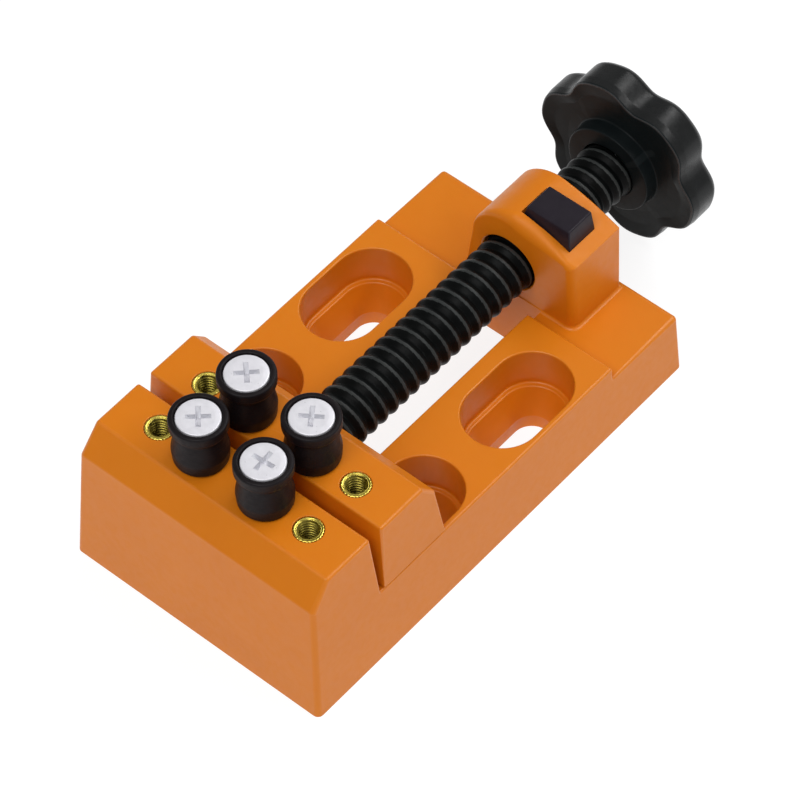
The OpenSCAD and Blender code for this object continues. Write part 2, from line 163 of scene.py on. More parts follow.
def black_plastic(name, tone, rough, grain, shine=0.2, swell=0.02 * MM):
    """Black moulded plastic with dust-grey patches and greyer edges, partly wear and partly a painted
    highlight.

    grain and swell are the heights of its fine and its broad bumps.
    """
    m = Material(name, IOR=1.5, Specular_IOR_Level=shine)
    grey = tuple(c * 1.5 + 0.001 for c in tone)
    body = m.blend(m.levels(m.noise(4 * MM, 4), 0.35, 0.75, 0, 0.6), tone, grey)
    # Paler outer edges: partly wear, partly a painted highlight.
    edge = tuple(c * 2.0 + 0.006 for c in tone)
    m.colour(m.blend(m.levels(m.edges(), 0, 1, 0, 0.5), body, edge))
    m.roughness(m.levels(m.noise(1.2 * MM, 3), 0.3, 0.7, rough - 0.05, rough + 0.07))
    m.bumps((m.noise(0.3 * MM, 2), grain), (m.noise(5 * MM, 2), swell))
    return m.material


def rubber():
    """Soft black rubber with a purple cast, moulding speckle, shallow creases and paler edges that are
    partly wear and partly a painted highlight.
    """
    m = Material("black_rubber", IOR=1.5, Specular_IOR_Level=0.14)
    body = m.blend(m.levels(m.noise(2.5 * MM, 4), 0.35, 0.7),
                   (0.0060, 0.0040, 0.0048), (0.0100, 0.0070, 0.0080))
    # Paler outer edges: partly wear, partly a painted highlight.
    m.colour(m.blend(m.levels(m.edges(), 0, 1, 0, 0.4), body, (0.018, 0.014, 0.016)))
    m.roughness(m.levels(m.noise(0.9 * MM, 3), 0.3, 0.7, 0.38, 0.52))
    creases = m.noise(1.6 * MM, 3, stretch=(1.0, 1.0, 2.6), distortion=0.8)
    m.bumps((m.noise(0.25 * MM, 2), 0.006 * MM), (creases, 0.05 * MM))
    return m.material


def plated_steel(name, tone, rough):
    """Plated steel with fine scratches and faint clouding."""
    m = Material(name, Metallic=0.2, IOR=1.5)
    dark = tuple(c * 0.93 for c in tone)
    scratches = m.noise(0.16 * MM, 2, stretch=(1.0, 7.0, 1.0))
    m.colour(m.blend(m.levels(m.noise(1.5 * MM, 4), 0.35, 0.7), tone, dark))
    m.roughness(m.levels(m.noise(0.7 * MM, 4), 0.3, 0.7, rough - 0.07, rough + 0.1))
    m.bumps((scratches, 0.0015 * MM), (m.noise(1.2 * MM, 3), 0.008 * MM))
    return m.material


def brass(name, tone):
    """Turned brass with slight tarnish, as bright as tone says; a low tone makes a darker copy that paints
    shade into a bore.
    """
    m = Material(name, Metallic=1.0)
    light, dull = (tuple(c * tone for c in colour)
                   for colour in ((0.85, 0.69, 0.14), (0.62, 0.49, 0.08)))
    m.colour(m.blend(m.levels(m.noise(0.9 * MM, 4), 0.3, 0.75), light, dull))
    m.roughness(m.levels(m.noise(0.5 * MM, 3), 0.3, 0.7, 0.22, 0.4))
    m.bumps((m.noise(0.12 * MM, 2), 0.002 * MM))
    return m.material


ORANGE = orange_plastic("orange_moulded", 0.3, 0.36)
ORANGE_EDGE = orange_plastic("orange_edge", 0.55, 0.30)
SCREW_BLACK = black_plastic("screw_black", (0.0024, 0.0028, 0.0028), 0.36, 0.0008 * MM, 0.05, 0.006 * MM)
# Painted highlight: a paler copy of the screw's black for a line along each thread crest.
SCREW_CREST_HIGHLIGHT = black_plastic("screw_crest_highlight", (0.0240, 0.0262, 0.0258), 0.34, 0.0008 * MM, 0.12, 0.006 * MM)
KNOB_BLACK = black_plastic("knob_black", (0.0115, 0.0120, 0.0122), 0.26, 0.002 * MM, 0.15)
# Painted shade: a darker, bluer copy of the knob's black for its front, towards the post.
KNOB_FRONT_SHADE = black_plastic("knob_front", (0.0052, 0.0074, 0.0080), 0.34, 0.002 * MM, 0.07)
# Painted highlight: a paler black for a line round the rim's front edge.
KNOB_EDGE_HIGHLIGHT = black_plastic("knob_edge_highlight", (0.026, 0.027, 0.028), 0.26, 0.001 * MM, 0.2)
HIDDEN_BLACK = black_plastic("fittings_black", (0.016, 0.016, 0.017), 0.45, 0.008 * MM)
BUTTON_BLACK = black_plastic("button_black", (0.0090, 0.0062, 0.0105), 0.36, 0.004 * MM, 0.18)
RUBBER = rubber()
NICKEL = plated_steel("nickel_steel", (0.80, 0.79, 0.835), 0.34)
# Painted shade: a darker copy of the plating for inside the cross recess.
NICKEL_RECESS_SHADE = plated_steel("nickel_recess_shade", (0.74, 0.74, 0.78), 0.42)
ZINC = plated_steel("zinc_steel", (0.56, 0.56, 0.58), 0.32)
BRASS = brass("turned_brass", 1.0)
# Painted shade: a darker copy of the brass for inside the bores.
SHADED_BORE_BRASS = brass("bore_shade_brass", 0.42)


# ---------------------------------------------------------------- mesh tools

STRAIGHT = math.radians(89.5)     # half the angle of a corner that is as good as straight
LONGEST_TANGENT = 0.49            # how much of a side the rounding of one end may take
SHARP_CAD_EDGE = math.radians(28)
WELD, FLAT_WITHIN = 1e-6, math.radians(0.6)


def add_object(name, mesh, material, body, node):
    """Puts a mesh in the scene as a smooth piece that rides on a CAD body and stands for a CAD node."""
    piece = bpy.data.objects.new(name, mesh)
    bpy.context.scene.collection.objects.link(piece)
    mesh.materials.clear()
    mesh.materials.append(material)
    mesh.polygons.foreach_set("use_smooth", [True] * len(mesh.polygons))
    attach(piece, body)
    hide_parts(node)
    return piece


def one_more_material(piece, material, chosen):
    """Gives one more material to the faces whose middle chosen(x, y, z) picks."""
    piece.data.materials.append(material)
    for face in piece.data.polygons:
        if chosen(*face.center):
            face.material_index = len(piece.data.materials) - 1


def from_grid(name, grid, close_rows=False):
    """A mesh over a grid of points, rings x columns x 3, whose columns join up."""
    rings, columns = grid.shape[:2]
    index = np.arange(rings * columns).reshape(rings, columns)
    upper = np.roll(index, -1, axis=0) if close_rows else index[1:]
    lower = index if close_rows else index[:-1]
    faces = np.stack([lower, np.roll(lower, -1, axis=1), np.roll(upper, -1, axis=1), upper], axis=-1)
    mesh = bpy.data.meshes.new(name)
    mesh.from_pydata(grid.reshape(-1, 3).tolist(), [], faces.reshape(-1, 4).tolist())
    mesh.update()
    return mesh


def rounding(before, here, after, radius, steps):
    """The points that round the corner at here, or here alone where there is nothing to round."""
    u, v = before - here, after - here
    reach_u, reach_v = np.linalg.norm(u), np.linalg.norm(v)
    u, v = u / reach_u, v / reach_v
    half = math.acos(float(np.clip(u @ v, -1, 1))) / 2
    if radius <= 0 or half > STRAIGHT:
        return [here]
    tangent = min(radius / math.tan(half), LONGEST_TANGENT * reach_u, LONGEST_TANGENT * reach_v)
    start, end = here + u * tangent, here + v * tangent
    return [(1 - t) ** 2 * start + 2 * t * (1 - t) * here + t ** 2 * end
            for t in np.linspace(0, 1, steps + 1)]


def fillet(corners, steps=6):
    """Rounds the corners of a polyline. Each corner is (across, along, radius)."""
    points = [np.array(c[:2], float) for c in corners]
    out = [points[0]]
    for i in range(1, len(points) - 1):
        out += rounding(*points[i - 1:i + 2], corners[i][2], steps)
    out.append(points[-1])
    return np.array(out)


def turned(profile, centre, axis, columns=96, swell=None):
    """Rings round an axis through centre from (radius, distance along the axis) points.

    swell(angles, radius) is added to the radius, for lobes or knurls.
    """
    angles = np.linspace(0, 2 * math.pi, columns, endpoint=False)
    grid = np.empty((len(profile), columns, 3))
    for i, (radius, along) in enumerate(profile):
        r = radius + (swell(angles, radius) if swell else 0)
        across, up = r * np.cos(angles), r * np.sin(angles)
        if axis == "Z":
            grid[i] = np.stack([across, up, np.full(columns, along)], axis=1)
        else:
            grid[i] = np.stack([across, np.full(columns, along), up], axis=1)
    grid += np.array(centre)
    return grid if axis == "Z" else grid[:, ::-1]


def welded(node):
    """A bmesh of a CAD node with its triangles joined back into flat faces."""
    bm = bmesh.new()
    bm.from_mesh(frame["nodes"][node].data)
    bmesh.ops.remove_doubles(bm, verts=bm.verts, dist=WELD)
    bmesh.ops.dissolve_limit(bm, angle_limit=FLAT_WITHIN, verts=bm.verts, edges=bm.edges)
    return bm


def softened(name, node, width_of, widest, material, body):
    """Stands for a CAD node with its edges rounded. width_of(edge) says how far."""
    bm = welded(node)
    weight = bm.edges.layers.float.new("bevel_weight_edge")
    for edge in bm.edges:
        if len(edge.link_faces) == 2 and edge.calc_face_angle(0) > SHARP_CAD_EDGE:
            edge[weight] = width_of(edge) / widest
    mesh = bpy.data.meshes.new(name)
    bm.to_mesh(mesh)
    bm.free()
    piece = add_object(name, mesh, material, body, node)
    bevel = piece.modifiers.new("rounded", "BEVEL")
    bevel.width = widest
    bevel.segments = 4
    bevel.limit_method = "WEIGHT"
    bevel.use_clamp_overlap = False
    bevel.miter_outer = "MITER_ARC"
    piece.modifiers.new("normals", "WEIGHTED_NORMAL").keep_sharp = True
    return piece


# ---------------------------------------------------------------- solids with rounded edges
# These work in the CAD's own millimetres, with Y measured from the front edge of the base.

base_low, base_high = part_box("base_body")
FRONT = base_low.y
AXES = {"X": (2, 0, 1), "Y": (0, 2, 1), "Z": (0, 1, 2)}   # where u, v and the place along the axis go
ROUND_STEPS = 6
SLOT_STEPS = 29
SMALLEST_ROUNDING = 0.04
MOUTH_FLARE = 80                  # degrees that a bore's mouth turns outwards
ROUNDING_WIDE = 0.25 * MM         # faces narrower than this belong to a rounding
SHARP_EDGE = math.radians(30)


def solid(rings, axis="Z"):
    """A closed mesh through rings of (u, v, place along the axis) points, with flat ends."""
    rings = np.array(rings)[..., AXES[axis]]
    count, columns = rings.shape[:2]
    points = rings.reshape(-1, 3) * MM + (0, FRONT, 0)
    index = np.arange(count * columns).reshape(count, columns)
    bm = bmesh.new()
    verts = [bm.verts.new(point) for point in points]
    for lower, upper in zip(index[:-1], index[1:]):
        for i in range(columns):
            j = (i + 1) % columns
            bm.faces.new([verts[k] for k in (lower[i], lower[j], upper[j], upper[i])])
    bm.faces.new([verts[k] for k in index[0]])
    bm.faces.new([verts[k] for k in index[-1]])
    bmesh.ops.remove_doubles(bm, verts=bm.verts, dist=WELD / 10)
    bmesh.ops.recalc_face_normals(bm, faces=bm.faces)
    mesh = bpy.data.meshes.new("solid")
    bm.to_mesh(mesh)
    bm.free()
    return mesh


def block(low, high):
    """A box from its low to its high corner."""
    (x0, y0, z0), (x1, y1, z1) = low, high
    return solid([[(x0, y0, z), (x1, y0, z), (x1, y1, z), (x0, y1, z)] for z in (z0, z1)])


def bored(outline_at, profile, axis="Z"):
    """A solid of outlines, one for each (size, place along the axis)."""
    rings = []
    for size, place in profile:
        outline = outline_at(size)
        rings.append(np.column_stack([outline, np.full(len(outline), place)]))
    return solid(rings, axis)


def slot(u, v, run=0.0):
    """The outline of a round-ended slot that runs along v, for a given radius."""
    half = np.linspace(0, math.pi, SLOT_STEPS)
    angle, shift = np.concatenate([half, half + math.pi]), np.repeat([run / 2, -run / 2], len(half))
    return lambda radius: np.column_stack(
        [u + radius * np.cos(angle), v + shift + radius * np.sin(angle)])


def mouth(size, place, soft, way=1):
    """The end of a bore's profile, flaring out to round the rim that it leaves at place."""
    turns = np.radians(np.linspace(0, MOUTH_FLARE, ROUND_STEPS))
    flare = [(size + soft * (1 - math.cos(t)), place - way * soft * (1 - math.sin(t))) for t in turns]
    return flare + [(flare[-1][0] + math.sin(turns[-1]), flare[-1][1] + way * math.cos(turns[-1]))]


def rounded_loop(points, radii):
    """Rounds a closed outline's corners; also gives the corner that each new point belongs to."""
    out, owner = [], []
    for i, (here, radius) in enumerate(zip(points, radii)):
        added = rounding(points[i - 1], here, points[(i + 1) % len(points)], radius, ROUND_STEPS)
        out += added
        owner += [i] * len(added)
    return np.array(out), np.array(owner)


def rounded_prism(corners, ends, axis, flare=1):
    """A closed solid from an outline drawn square to an axis, with rounded corners and rims.

    A corner is (u, v, its radius, the rim's radius at the low end, at the high end), counterclockwise.
    ends gives the low and the high end's place from the points. With a flare of -1 the rims spread
    outwards, as a fillet round a foot does.
    """
    corners = np.array(corners, float)
    flat, radii = corners[:, :2], corners[:, 2]
    into, out = flat - np.roll(flat, 1, axis=0), np.roll(flat, -1, axis=0) - flat
    into, out = (way / np.linalg.norm(way, axis=1, keepdims=True) for way in (into, out))
    left_in, left_out = (np.stack([-way[:, 1], way[:, 0]], axis=1) for way in (into, out))
    inward = (left_in + left_out) / (1 + (left_in * left_out).sum(axis=1, keepdims=True))
    bend = np.sign((left_in * out).sum(axis=1))
    rings = []
    for side, place in enumerate(ends):
        turns = np.linspace(0, math.pi / 2, ROUND_STEPS + 1)
        rim = corners[:, 3 + side]
        for turn in (turns if side == 0 else turns[::-1]):
            inset = flare * rim * (1 - math.sin(turn))
            shrunk = np.where(radii > 0, np.maximum(radii - bend * inset, SMALLEST_ROUNDING), 0)
            points, owner = rounded_loop(flat + inward * inset[:, None], shrunk)
            depth = place(points) + (1 - 2 * side) * rim[owner] * (1 - math.cos(turn))
            rings.append(np.column_stack([points, depth]))
    return solid(rings, axis)


def combined(whole, tools, operation):
    """whole with the tools' solids joined to it (UNION) or taken out of it (DIFFERENCE)."""
    scene = bpy.context.scene.collection
    piece = bpy.data.objects.new("whole", whole)
    scene.objects.link(piece)
    helpers = [bpy.data.objects.new("tool", tool) for tool in tools]
    for helper in helpers:
        scene.objects.link(helper)
        step = piece.modifiers.new("step", "BOOLEAN")
        step.object, step.operation, step.solver = helper, operation, "EXACT"
    evaluated = piece.evaluated_get(bpy.context.evaluated_depsgraph_get())
    result = bpy.data.meshes.new_from_object(evaluated)
    for made in (piece, *helpers):
        bpy.data.objects.remove(made)
    return result


def orange_piece(name, mesh, body, node):
    """Adds an orange solid that stands for a CAD node, with flat flats and smooth, shinier roundings."""
    piece = add_object(name, mesh, ORANGE, body, node)
    mesh.materials.append(ORANGE_EDGE)
    for face in mesh.polygons:
        corners = [mesh.vertices[i].co for i in face.vertices]
        longest = max((a - b).length for a, b in zip(corners, corners[1:] + corners[:1]))
        if face.area < ROUNDING_WIDE * longest:
            face.material_index = 1
    mesh.set_sharp_from_angle(angle=SHARP_EDGE)
    piece.modifiers.new("normals", "WEIGHTED_NORMAL").keep_sharp = True


# ---------------------------------------------------------------- base and jaws

def place_of(point):
    """A frame point in millimetres, with Y from the base's front edge."""
    return point[0] / MM, (point[1] - FRONT) / MM, point[2] / MM


def centre_of(node):
    low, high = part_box(node)
    return place_of((low + high) / 2)


# DRAFT is how far a wall leans in for each millimetre of height.
MOUNTS = {mount["name"]: mount for mount in RECORD["mounts"]}
DRAFT = 0.06
HALF_WIDTH = base_high.x / MM
RAIL_TOP, REAR_TOP = 17.5, 14.5
JAW_TOP = place_of(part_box("fixed_left_sleeve")[0])[2] - 0.02
FIXED_FRONT, FIXED_REAR, FIXED_FOOT, SLOPE_Z = 6.2, 17.25, 18.594, 28.0
REAR_STEP, BASE_END = 83.2, 103.0
GAP, GAP_FRONT, GAP_REAR = 8.05, 19.2, 87.0
SCREW_Z = centre_of("lead_screw")[2]
BORE_R = 6.1
POST_FRONT, POST_REAR = 87.2, 101.0
INSERT_R = 2.87
INSERT_DEEP = 9.5
SLOT_TAPER_Z, SLOT_LEDGE_Z = 3.0, 9.0
SLOT_LEDGE_IN, SLOT_LEDGE_OUT, SLOT_MOUTH = 6.3, 7.3, 7.55
NUT_FRONT, NUT_REAR, NUT_SLACK = 89.75, 97.05, 0.05
SUNK = 4.0                        # how far outlines run on below the surface that they end at
BELOW = -1.0                      # where cutters that open downwards start


def side_wall(way):
    """The leaning side wall of the base and the jaws, as X from (y, z) points."""
    return lambda points: way * (HALF_WIDTH - DRAFT * points[:, 1])


SIDES = (side_wall(-1), side_wall(1))


def insert_bores(jaw_name):
    """Cutters for the four brass bushes of a jaw."""
    tools = []
    for number in range(1, 5):
        x, y, _ = centre_of(f"{jaw_name}_insert_{number}")
        profile = [(INSERT_R, JAW_TOP - INSERT_DEEP), *mouth(INSERT_R, JAW_TOP, 0.15)]
        tools.append(bored(slot(x, y), profile))
    return tools


def mounting_slots():
    """Cutters for the four bench slots with their counterbores."""
    tools = []
    for name in ("left_slots", "right_slots"):
        mount = MOUNTS[name]
        x, middle_y, _ = place_of(mount["pos_m"])
        reach, radius = mount["dims"]["spacing_y_mm"] / 2, mount["dims"]["hole_r_mm"]
        run = mount["dims"]["slot_length_mm"] - 2 * radius
        profile = fillet([
            (radius, BELOW, 0), (radius, SLOT_TAPER_Z, 0.6), (SLOT_LEDGE_IN, SLOT_LEDGE_Z, 0.45),
            (SLOT_LEDGE_OUT, SLOT_LEDGE_Z, 0.5), (SLOT_MOUTH - 0.02, RAIL_TOP - 0.4, 0)])
        for y in (middle_y - reach, middle_y + reach):
            tools.append(bored(slot(x, y, run), [*profile[:-1], *mouth(SLOT_MOUTH, RAIL_TOP, 0.35)]))
    return tools


def post_outline():
    """The nut post's corners, read from the rear face of the CAD's post, and its left and right X."""
    vertices = frame["nodes"]["base_body"].data.vertices
    seen = {tuple(round(c, 4) for c in place_of(v.co)) for v in vertices}
    near, crest_x, crest_reach, button_corner_x = 0.01, 4, 12, 14.5
    arch = [(x, z) for x, y, z in seen
            if abs(y - POST_REAR) < near and z > REAR_TOP - near
            and math.hypot(x, z - SCREW_Z) > BORE_R + 1]
    arch.sort(key=lambda point: math.atan2(point[0], SCREW_Z - point[1]) % (2 * math.pi))
    corners = []
    for x, z in arch:
        crest = 1 - min(abs(x - crest_x) / crest_reach, 1)
        corners.append((x, z, 0, 0.5 + 2.6 * crest, 0.45))
    corner = max(range(len(arch)), key=lambda i: (arch[i][0] > button_corner_x, arch[i][1]))
    x, z = arch[corner]
    corners[corner] = (x, z, 0.35, 1.7, 0.3)
    for i, step in ((0, 1), (-1, -1)):
        (x0, z0), (x1, z1) = arch[i], arch[i + step]
        soft = 1.6 if i == 0 else 0.5
        corners[i] = (x0, z0, 0, soft, 0.6)
        below = (x0 + (x0 - x1) * SUNK / (z1 - z0), z0 - SUNK, 0, soft, 0.6)
        corners = [below, *corners] if i == 0 else [*corners, below]
    return corners, arch[-1][0], arch[0][0]


def flat_end(place):
    """A prism's end that is square to its axis."""
    return lambda points: np.full(len(points), place)


def post_solids():
    """The nut post and the small fillet round its foot."""
    corners, left, right = post_outline()
    post = rounded_prism(corners, (flat_end(POST_FRONT), flat_end(POST_REAR)), "Y")
    inside, soft, tall = 0.05, 0.8, 0.7
    foot = [(left + inside, POST_FRONT + inside, 0.5), (right - inside, POST_FRONT + inside, 1.6),
            (right - inside, POST_REAR - inside, 0.6), (left + inside, POST_REAR - inside, 0.6)]
    fillet_ring = rounded_prism([(*corner, soft, 0) for corner in foot],
                                (flat_end(REAR_TOP - 0.02), flat_end(REAR_TOP + tall)), "Z", flare=-1)
    return [post, fillet_ring]


def hidden_hollows():
    """Cutters for what shows only from below, and for the half nut's way up to its button."""
    cells, rib, reach, front, rear, roof = 6, 1.8, 25.2, 3.6, 15.6, 20
    pace = (2 * reach + rib) / cells
    starts = [-reach + i * pace for i in range(cells)]
    jaw_cells = [block((x, front, BELOW), (x + pace - rib, rear, roof)) for x in starts]
    front, rear, roof = 85.6, 99.6, REAR_TOP - 2.8
    rear_cells = [block((x0, front, BELOW), (x1, rear, roof))
                  for x0, x1 in ((-25.8, -20.6), (-18.6, -13.4), (20.2, 25.8))]
    keeper_way = block((-13.4, GAP_FRONT, BELOW), (13.4, GAP_REAR, 5.2))
    # Left, right, bottom and top of the nut's body, the teeth's room, the arm's way and the button's way.
    nut_way = [block((x0, NUT_FRONT, z0), (x1, NUT_REAR, z1)) for x0, x1, z0, z1 in (
        (-6.8 - NUT_SLACK, 12.4 + NUT_SLACK, BELOW, 16.05),
        (-4.35, 4.35, 8.2, 18.05),
        (5, 12.4 + NUT_SLACK, 8.3, 29.75),
        (1 - NUT_SLACK, 12.2 + NUT_SLACK, 28.2, base_high.z / MM + 1))]
    cover_seat = block((-14.35, 88.45, BELOW), (18.35, 99.55, 2.3))
    pilot_r, pilot_y, pilot_top = 0.92, 94, 9
    pilots = [bored(slot(x, pilot_y), [(pilot_r, BELOW), (pilot_r, pilot_top)]) for x in (-11.3, 15.3)]
    return [*jaw_cells, *rear_cells, keeper_way, *nut_way, cover_seat, *pilots]


def build_base():
    """The base with its fixed jaw, slots and post. The outline runs on below the bench and is cut flat."""
    body = rounded_prism([
        (-DRAFT * SUNK, -SUNK, 0, 1.2, 1.2), (BASE_END + DRAFT * SUNK, -SUNK, 0, 1.2, 1.2),
        (BASE_END - DRAFT * REAR_TOP, REAR_TOP, 0.9, 0.9, 0.9), (REAR_STEP, REAR_TOP, 0.4, 0.5, 0.5),
        (REAR_STEP, RAIL_TOP, 0.5, 0.5, 0.5), (FIXED_FOOT, RAIL_TOP, 0.4, 0.5, 0.5),
        (FIXED_REAR, JAW_TOP, 0.6, 0.6, 0.6), (FIXED_FRONT, JAW_TOP, 0.9, 0.7, 0.7),
        (DRAFT * SLOPE_Z, SLOPE_Z, 1.0, 1.0, 1.0)], SIDES, "X")
    body = combined(body, post_solids(), "UNION")
    gap = bored(lambda grow: np.array([(-GAP - grow, GAP_FRONT), (GAP + grow, GAP_FRONT),
                                       (GAP + grow, GAP_REAR), (-GAP - grow, GAP_REAR)]),
                [(0, BELOW), *mouth(0, RAIL_TOP, 0.3)])
    bore = bored(slot(0, SCREW_Z),
                 [*mouth(BORE_R, POST_FRONT, 0.45, -1)[::-1], *mouth(BORE_R, POST_REAR, 0.45)], "Y")
    bench = block((-40, -10, -10), (40, BASE_END + 10, 0))     # cuts off all that hangs below the bench
    tools = [bench, gap, bore, *mounting_slots(), *insert_bores("fixed"), *hidden_hollows()]
    orange_piece("base_moulding", combined(body, tools, "DIFFERENCE"), "base", "base_body")


def build_jaw():
    """The sliding jaw with its tongue, its seats for the lead screw's neck and its hollows."""
    low, foot, front = RAIL_TOP + 0.1, 36.0, 20.2
    body = rounded_prism([
        (front - 0.55, low, 0.2, 0.2, 0.2), (foot, low, 0.2, 0.2, 0.2),
        (foot - 1.5, JAW_TOP - 3.5, 1.2, 0.7, 0.7), (31.4, JAW_TOP, 0.7, 0.7, 0.7),
        (front, JAW_TOP, 0.6, 0.6, 0.6)], SIDES, "X")
    tongue = block((-7.9, 20.5, 5.05), (7.9, 35.2, low + 1))
    body = combined(body, [tongue], "UNION")
    seats = []
    # From and to Y, and radius: the room for the screw's disc and for its neck, both open downwards.
    for y0, y1, radius in ((28.2, 30.4, 4.75), (30.3, 33.2, 3.15)):
        seats.append(bored(slot(0, SCREW_Z), [(radius, y0), (radius, y1)], "Y"))
        seats.append(block((-radius, y0, 4), (radius, y1, SCREW_Z)))
    seats.append(bored(slot(0, SCREW_Z), [(BORE_R, 33.1), *mouth(BORE_R, foot - 0.6, 0.3)], "Y"))
    for x0, x1 in ((-25.4, -10), (10, 25.4)):
        seats.append(block((x0, 28.4, low - 1), (x1, 33, JAW_TOP - 4.5)))
    seats += [bored(slot(x, 23.6), [(1.02, 4), (1.02, 13)]) for x in (-5.2, 5.2)]
    tools = [*insert_bores("jaw"), *seats]
    orange_piece("jaw_moulding", combined(body, tools, "DIFFERENCE"), "sliding_jaw", "moving_jaw")


build_base()
build_jaw()


# ---------------------------------------------------------------- lead screw and knob

screw_low, screw_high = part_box("lead_screw")
SCREW_AXIS = (screw_low.z + screw_high.z) / 2
PITCH = 2 * math.pi / abs(next(
    c["ratio"] for c in RECORD["behaviour"]["couplings"] if c["joint"] == "screw_turn"))
CREST_R = (screw_high.x - screw_low.x) / 2
THREAD_DEPTH, CAD_THREAD_DEPTH = 0.62 * MM, 1.1 * MM
CREST_POWER = 1.3                 # more makes the crests narrower and the valleys wider
CREST_HIGHLIGHT_DEEP = 0.05 * MM            # how deep the painted highlight line on a crest reaches down
TOOTH_GAP = 0.25 * MM             # between the CAD's thread and the half nut's teeth


def crest_place():
    """Where the CAD thread's crest stands along Y on the +X side."""
    points = np.array([v.co for v in frame["nodes"]["lead_screw"].data.vertices])
    radius = np.hypot(points[:, 0], points[:, 2] - SCREW_AXIS)
    level = np.abs(points[:, 2] - SCREW_AXIS) < WELD
    on_side = level & (points[:, 0] > CREST_R - 1.2 * CAD_THREAD_DEPTH)
    turns = points[on_side, 1] / PITCH
    wave = (radius[on_side] - radius[on_side].mean()) * np.exp(-2j * math.pi * turns)
    return -np.angle(wave.sum()) * PITCH / (2 * math.pi)


def build_lead_screw():
    """The thread with a rounded crest, shallower than the CAD's, and the plain end in the jaw; a paler line
    along each crest is a painted highlight.
    """
    columns, per_turn, neck_end, in_knob = 96, 26, 4.9 * MM, 0.35 * MM
    start, end = screw_low.y + neck_end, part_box("knob")[0].y + in_knob
    y = np.linspace(start, end, int((end - start) / PITCH * per_turn))
    angle = np.linspace(0, 2 * math.pi, columns, endpoint=False)
    phase = 2 * math.pi * (y[:, None] - crest_place()) / PITCH + angle[None, :]
    radius = CREST_R - THREAD_DEPTH * (1 - np.abs(np.cos(phase / 2)) ** CREST_POWER)
    y = np.repeat(y[:, None], columns, axis=1)
    # The disc and the neck that the jaw holds, as radius and distance from the screw's front end.
    plain = [(0.1 * MM, 0), (4.2 * MM, 0), (4.6 * MM, 0.4 * MM), (4.6 * MM, 1.95 * MM),
             (3.05 * MM, 1.95 * MM), (3.05 * MM, 4.85 * MM), (3.6 * MM, neck_end)]
    head = np.array([[r] * columns for r, _ in plain])
    head_y = np.array([[screw_low.y + d] * columns for _, d in plain])
    tail = np.array([[CREST_R - THREAD_DEPTH] * columns, [0.1 * MM] * columns])
    tail_y = np.full((2, columns), end)
    radius, y = np.vstack([head, radius, tail]), np.vstack([head_y, y, tail_y])
    grid = np.stack([radius * np.cos(angle), y, SCREW_AXIS + radius * np.sin(angle)], axis=-1)
    piece = add_object("lead_screw_thread", from_grid("lead_screw_thread", grid[:, ::-1]), SCREW_BLACK,
                       "spindle", "lead_screw")
    # Painted highlight: the faces at the crest take the paler material.
    one_more_material(piece, SCREW_CREST_HIGHLIGHT,
                      lambda x, y, z: math.hypot(x, z - SCREW_AXIS) > CREST_R - CREST_HIGHLIGHT_DEEP)


def build_knob():
    """Six soft lobes round a dished face, with a boss towards the post and a screw pocket behind."""
    low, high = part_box("knob")
    lobes, lead, swing, sharpen = 6, math.radians(49), 1.2 * MM, 0.3 * MM
    rim = high.z - SCREW_AXIS - (swing - sharpen) - 0.02 * MM
    hub, rear = low.y, high.y
    face = hub + 2.7 * MM
    pocket = face + 5.6 * MM
    round_within, lobed_beyond = 12.2 * MM, 16.2 * MM
    shaded_front_deep, highlight_line_deep, highlight_line_radius = 0.5 * MM, 0.12 * MM, 14 * MM

    def swell(angles, radius):
        reach = min(max((radius - round_within) / (lobed_beyond - round_within), 0), 1)
        reach = reach * reach * (3 - 2 * reach)
        turn = lobes * (angles - lead)
        return reach * (swing * np.cos(turn) - sharpen * np.cos(2 * turn))

    profile = fillet([
        (1.7 * MM, face + 3 * MM, 0), (1.7 * MM, face + 1 * MM, 0), (5.9 * MM, face + 1 * MM, 0),
        (5.9 * MM, hub, 0.2 * MM), (9.3 * MM, hub, 0.3 * MM), (9.5 * MM, face + 0.3 * MM, 0.4 * MM),
        (11.8 * MM, face + 0.4 * MM, 1.5 * MM), (14.5 * MM, face + 0.35 * MM, 3 * MM),
        (rim - 0.25 * MM, face - 0.05 * MM, 0.4 * MM), (rim + 0.02 * MM, face + 1.8 * MM, 1.5 * MM),
        (rim, rear - 1.1 * MM, 1.5 * MM), (rim - 0.8 * MM, rear, 0.9 * MM),
        (12 * MM, rear - 0.1 * MM, 2 * MM), (6 * MM, rear - 0.6 * MM, 2 * MM),
        (3.5 * MM, rear - 0.6 * MM, 0.3 * MM), (3.4 * MM, pocket, 0.1 * MM), (1.7 * MM, pocket, 0)])
    grid = turned(profile, (0, 0, SCREW_AXIS), "Y", columns=180, swell=swell)
    piece = add_object("knob_moulding", from_grid("knob_moulding", grid, close_rows=True), KNOB_BLACK,
                       "spindle", "knob")
    # Painted shade: the front faces, towards the post, take the darker material.
    one_more_material(piece, KNOB_FRONT_SHADE, lambda x, y, z: y < face + shaded_front_deep)
    # Painted highlight: a paler line round the front edge of the rim.
    one_more_material(piece, KNOB_EDGE_HIGHLIGHT, lambda x, y, z: (
        math.hypot(x, z - SCREW_AXIS) > highlight_line_radius and y < face + highlight_line_deep))


# ---------------------------------------------------------------- pegs and inserts

PEG_PITCH = 0.7 * MM              # an M4 thread's
SHARP_HEAD_EDGE = math.radians(32)


